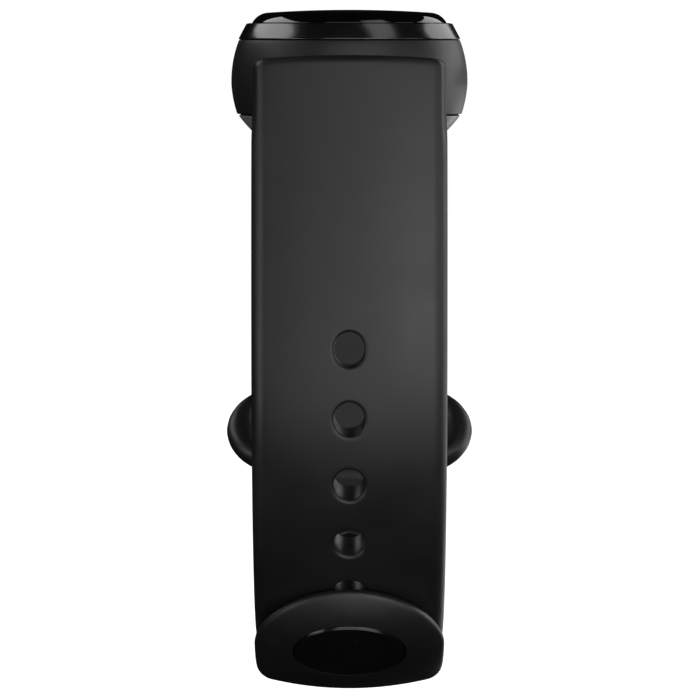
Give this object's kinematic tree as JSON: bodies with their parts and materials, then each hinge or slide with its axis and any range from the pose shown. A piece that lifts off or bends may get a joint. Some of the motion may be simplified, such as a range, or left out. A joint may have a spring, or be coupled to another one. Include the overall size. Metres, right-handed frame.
{
  "type": "fitness tracker band",
  "caption": "Wrist fitness tracker: pill-shaped capsule in a soft strap closed on its loop by a stud and keeper.",
  "frame": {"origin": "middle of the wrist opening, on its axis, half way across the strap", "axes": "+X along the wrist, across the strap; -Y to the arm with the holes; +Z out of the cover glass"},
  "size_m": [0.0224, 0.0594, 0.0581],
  "materials": {
    "strap_rubber": "fine matte moulded soft rubber",
    "cap_gloss": "polished black",
    "pin_plastic": "moulded black",
    "cover_glass": "black-backed polished glass",
    "frame_gloss": "high gloss black",
    "shell_satin": "satin dark grey",
    "seal_rubber": "matte",
    "clear_film": "clear",
    "display": "glossy black",
    "flex_film": "amber film",
    "carrier_plastic": "matte",
    "board": "solder mask",
    "steel": "brushed",
    "chip": "moulded epoxy",
    "capacitor": "ceramic",
    "gold": "gold plated",
    "battery_foil": "pouch foil",
    "led": "clear lens",
    "detector": "glossy",
    "lens": "smoked clear",
    "magnet": "nickel plated",
    "tungsten": "sintered heavy metal"
  },
  "bodies": {
    "strap": {"strap_cradle": "strap_rubber", "strap_holes_arm": "strap_rubber", "strap_keeper_loop": "strap_rubber", "strap_stud_arm": "strap_rubber"},
    "stud_tip": {"strap_stud_tip": "strap_rubber", "stud_cap": "cap_gloss", "stud_pin": "pin_plastic"},
    "capsule": {"cover_glass": "cover_glass", "top_frame": "frame_gloss", "bottom_shell": "shell_satin", "glass_gasket": "seal_rubber", "shell_seal": "seal_rubber", "contact_seals": "seal_rubber", "motor_boot": "seal_rubber", "optical_adhesive": "clear_film", "display_panel": "display", "display_flex": "flex_film", "inner_carrier": "carrier_plastic", "light_baffle": "carrier_plastic", "main_board": "board", "sensor_board": "board", "battery_guard_board": "board", "board_screws": "steel", "shield_can": "steel", "motor_can": "steel", "radio_chip": "chip", "memory_chip": "chip", "motion_sensor": "chip", "small_parts": "capacitor", "antenna": "gold", "charge_contacts": "gold", "battery": "battery_foil", "green_leds": "led", "photodiodes": "detector", "sensor_lens": "lens", "charge_magnets": "magnet"},
    "motor_rotor": {"motor_shaft": "steel", "motor_weight": "tungsten"}
  },
  "joints": [
    {"name": "stud_flex", "type": "hinge", "parent": "strap", "child": "stud_tip", "pos_m": [0, -0.00535, -0.02514], "axis": [1, 0, 0], "range_deg": [0, 45], "stiffness_Nm_per_rad": 0.02},
    {"name": "capsule_release", "type": "slide", "parent": "strap", "child": "capsule", "axis": [0, 0, 1], "range_m": [0, 0.014], "deforming": ["strap_cradle"]},
    {"name": "motor_spin", "type": "hinge", "parent": "capsule", "child": "motor_rotor", "pos_m": [0, 0.0156, 0.0247], "axis": [1, 0, 0], "continuous": true}
  ]
}
